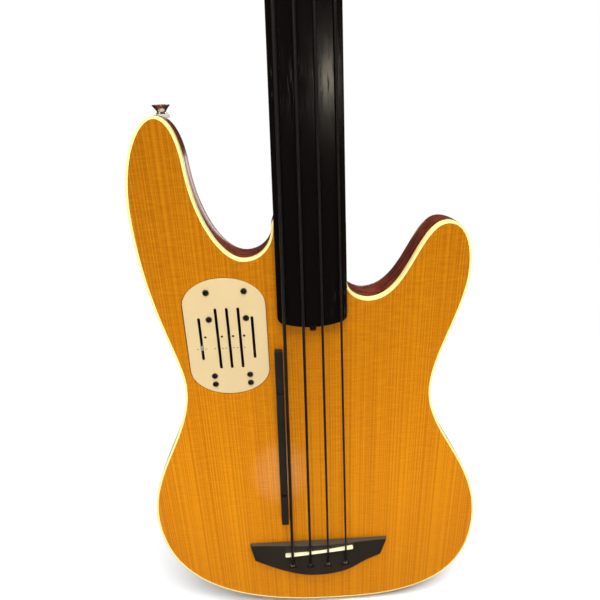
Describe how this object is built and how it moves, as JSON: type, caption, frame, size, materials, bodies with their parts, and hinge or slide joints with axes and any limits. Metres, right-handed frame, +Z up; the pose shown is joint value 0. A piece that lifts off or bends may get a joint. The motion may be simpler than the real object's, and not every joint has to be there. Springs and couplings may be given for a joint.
{
  "type": "fretless bass guitar",
  "caption": "Fretless electro-acoustic bass guitar with a horned chambered body, amber top, cream binding, slanted saddle, slider preamp, thumb rest and paired tuners",
  "frame": {"origin": "middle of the nut, on the neck's gluing face, where a hanger's two arms carry the headstock", "axes": "+Z up the neck towards the headstock, -Y out of the soundboard towards the player's view, +X towards the treble strings"},
  "size_m": [0.333, 0.0636, 1.1373],
  "materials": {
    "red_wood": "clear gloss over a dark red stain",
    "amber_top": "clear gloss over amber straight-grained spruce",
    "cream_binding": "gloss cream",
    "black_wood": "oiled ebony, satin",
    "dark_wood": "oiled dark brown, satin",
    "bone": "polished off-white",
    "steel": "satin",
    "black_screw": "black oxide",
    "nickel": "warm polished nickel",
    "string_tape": "black nylon tape winding, satin",
    "black_plastic": "satin black",
    "silver_plastic": "silver",
    "cream_plate": "satin cream",
    "circuit_board": "green laminate",
    "battery_case": "grey shrink sleeve",
    "felt": "pale felt",
    "lead_jacket": "black jacket"
  },
  "bodies": {
    "bass": {"body_shell": "red_wood", "soundboard": "amber_top", "binding": "cream_binding", "neck": "red_wood", "fingerboard": "black_wood", "string_nut": "bone", "truss_rod": "steel", "neck_plate": "nickel", "neck_bolt_1": "steel", "neck_bolt_2": "steel", "neck_bolt_3": "steel", "neck_bolt_4": "steel", "tuner_housing_e": "nickel", "string_e": "string_tape", "tuner_housing_a": "nickel", "string_a": "string_tape", "tuner_housing_d": "nickel", "string_d": "string_tape", "tuner_housing_g": "nickel", "string_g": "string_tape", "bridge": "dark_wood", "saddle": "bone", "piezo_pickup": "steel", "thumb_rest": "black_plastic", "thumb_rest_screw_1": "black_screw", "thumb_rest_screw_2": "black_screw", "preamp_plate": "cream_plate", "preamp_board": "circuit_board", "preamp_screw_1": "black_screw", "preamp_screw_2": "black_screw", "preamp_screw_3": "black_screw", "preamp_screw_4": "black_screw", "preamp_screw_5": "black_screw", "preamp_screw_6": "black_screw", "preamp_screw_7": "black_screw", "preamp_screw_8": "black_screw", "battery_box": "black_plastic", "battery": "battery_case", "output_jack": "steel", "jack_nut": "nickel", "strap_button_horn": "nickel", "strap_button_tail": "nickel", "strap_washer_horn": "felt", "strap_washer_tail": "felt", "output_lead": "lead_jacket"},
    "truss_rod_nut": {"truss_rod_nut": "steel"},
    "tuner_key_e": {"tuner_key_e": "nickel"},
    "tuner_post_e": {"tuner_post_e": "nickel"},
    "tuner_key_a": {"tuner_key_a": "nickel"},
    "tuner_post_a": {"tuner_post_a": "nickel"},
    "tuner_key_d": {"tuner_key_d": "nickel"},
    "tuner_post_d": {"tuner_post_d": "nickel"},
    "tuner_key_g": {"tuner_key_g": "nickel"},
    "tuner_post_g": {"tuner_post_g": "nickel"},
    "slider_gain": {"slider_gain": "silver_plastic"},
    "slider_treble": {"slider_treble": "black_plastic"},
    "slider_mid": {"slider_mid": "black_plastic"},
    "slider_bass": {"slider_bass": "black_plastic"},
    "slider_volume": {"slider_volume": "black_plastic"},
    "battery_door": {"battery_door": "black_plastic"}
  },
  "joints": [
    {"name": "slider_gain_slide", "type": "slide", "parent": "bass", "child": "slider_gain", "axis": [0, 0, 1], "range_m": [-0.0093, 0.0275]},
    {"name": "slider_treble_slide", "type": "slide", "parent": "bass", "child": "slider_treble", "axis": [0, 0, 1], "range_m": [-0.0288, 0.026]},
    {"name": "slider_mid_slide", "type": "slide", "parent": "bass", "child": "slider_mid", "axis": [0, 0, 1], "range_m": [-0.0288, 0.026]},
    {"name": "slider_bass_slide", "type": "slide", "parent": "bass", "child": "slider_bass", "axis": [0, 0, 1], "range_m": [-0.0298, 0.025]},
    {"name": "slider_volume_slide", "type": "slide", "parent": "bass", "child": "slider_volume", "axis": [0, 0, 1], "range_m": [-0.0052, 0.0317]},
    {"name": "truss_rod_nut_turn", "type": "hinge", "parent": "bass", "child": "truss_rod_nut", "pos_m": [0.0005, 0.0052, -0.6], "axis": [0, 0, 1], "range_deg": [-180, 180]},
    {"name": "battery_door_hinge", "type": "hinge", "parent": "bass", "child": "battery_door", "pos_m": [-0.1, 0.0488, -0.785], "axis": [1, 0, 0], "range_deg": [0, 100]},
    {"name": "tuner_key_e_turn", "type": "hinge", "parent": "bass", "child": "tuner_key_e", "pos_m": [-0.029, 0.02902, 0.04622], "axis": [1, 0, 0], "continuous": true},
    {"name": "tuner_post_e_turn", "type": "hinge", "parent": "bass", "child": "tuner_post_e", "pos_m": [-0.024, 0.01037, 0.06312], "axis": [0, -0.9848, 0.1736], "continuous": true},
    {"name": "tuner_key_a_turn", "type": "hinge", "parent": "bass", "child": "tuner_key_a", "pos_m": [-0.026, 0.04013, 0.10925], "axis": [1, 0, 0], "continuous": true},
    {"name": "tuner_post_a_turn", "type": "hinge", "parent": "bass", "child": "tuner_post_a", "pos_m": [-0.021, 0.02149, 0.12615], "axis": [0, -0.9848, 0.1736], "continuous": true},
    {"name": "tuner_key_d_turn", "type": "hinge", "parent": "bass", "child": "tuner_key_d", "pos_m": [0.026, 0.04013, 0.10925], "axis": [1, 0, 0], "continuous": true},
    {"name": "tuner_post_d_turn", "type": "hinge", "parent": "bass", "child": "tuner_post_d", "pos_m": [0.021, 0.02149, 0.12615], "axis": [0, -0.9848, 0.1736], "continuous": true},
    {"name": "tuner_key_g_turn", "type": "hinge", "parent": "bass", "child": "tuner_key_g", "pos_m": [0.029, 0.02902, 0.04622], "axis": [1, 0, 0], "continuous": true},
    {"name": "tuner_post_g_turn", "type": "hinge", "parent": "bass", "child": "tuner_post_g", "pos_m": [0.024, 0.01037, 0.06312], "axis": [0, -0.9848, 0.1736], "continuous": true}
  ],
  "couplings": [
    {"joint": "tuner_post_e_turn", "follows": "tuner_key_e_turn", "ratio": 0.05},
    {"joint": "tuner_post_a_turn", "follows": "tuner_key_a_turn", "ratio": 0.05},
    {"joint": "tuner_post_d_turn", "follows": "tuner_key_d_turn", "ratio": -0.05},
    {"joint": "tuner_post_g_turn", "follows": "tuner_key_g_turn", "ratio": -0.05}
  ]
}
